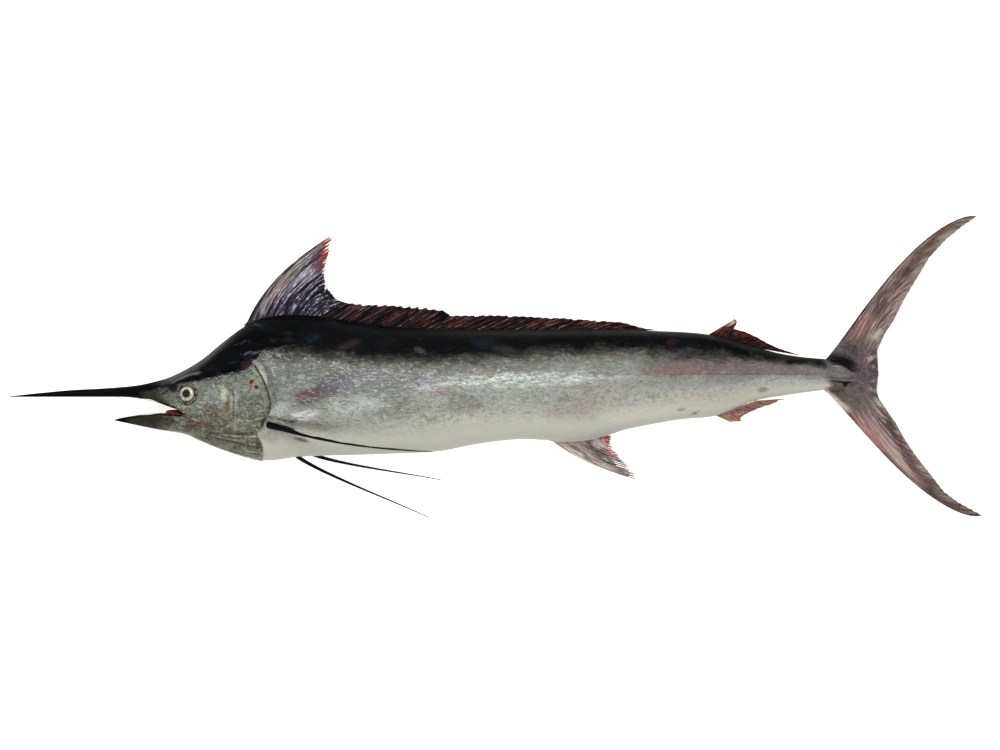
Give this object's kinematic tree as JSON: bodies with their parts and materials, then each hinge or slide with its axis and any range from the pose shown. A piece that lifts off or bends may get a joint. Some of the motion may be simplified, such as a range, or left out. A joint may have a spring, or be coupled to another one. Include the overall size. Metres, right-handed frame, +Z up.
{
  "type": "black marlin",
  "caption": "Still life-size black marlin lying on its right side: long bill, open mouth, tall front dorsal lobe, stiff pectoral fins and a wide crescent tail.",
  "frame": {"origin": "on the floor under the middle of the fish's length and of its tail's spread", "axes": "+X from the bill towards the tail, +Y towards the fish's back, +Z up, out of its left side"},
  "size_m": [2.0439, 0.6342, 0.217],
  "materials": {
    "skin": "wet silvery fish skin, near black along the back",
    "head_skin": "wet mottled grey and brown skin",
    "bill": "rough dark bony skin",
    "jaw": "grey brown skin, dark at the tip",
    "tail_skin": "slate to blue black skin",
    "gill_cover": "silvery mottled plate",
    "eye": "silver cream iris round a black pupil",
    "tongue": "wet red flesh",
    "dorsal_fin": "dark purple grey membrane, red and cream ragged edge",
    "small_fin": "pink red and cream membrane",
    "anal_fin": "white membrane with grey streaks",
    "tail_fin": "dark mauve and slate, pale at the rear edge",
    "paired_fin": "black stiff fin"
  },
  "bodies": {
    "root": {"bill": "bill", "lower_jaw": "jaw", "head": "head_skin", "trunk": "skin", "hind_body": "skin", "tail_stock": "tail_skin", "eye_left": "eye", "eye_right": "eye", "tongue": "tongue", "gill_cover_left": "gill_cover", "gill_cover_right": "gill_cover", "first_dorsal_lobe": "dorsal_fin", "first_dorsal_strip": "dorsal_fin", "second_dorsal_fin": "small_fin", "second_anal_fin": "small_fin", "first_anal_fin": "anal_fin", "tail_fin_upper": "tail_fin", "tail_fin_lower": "tail_fin", "pectoral_fin_left": "paired_fin", "pectoral_fin_right": "paired_fin", "pelvic_fin_left": "paired_fin", "pelvic_fin_right": "paired_fin", "tail_keel_upper_left": "tail_skin", "tail_keel_upper_right": "tail_skin", "tail_keel_lower_left": "tail_skin", "tail_keel_lower_right": "tail_skin"}
  },
  "joints": []
}
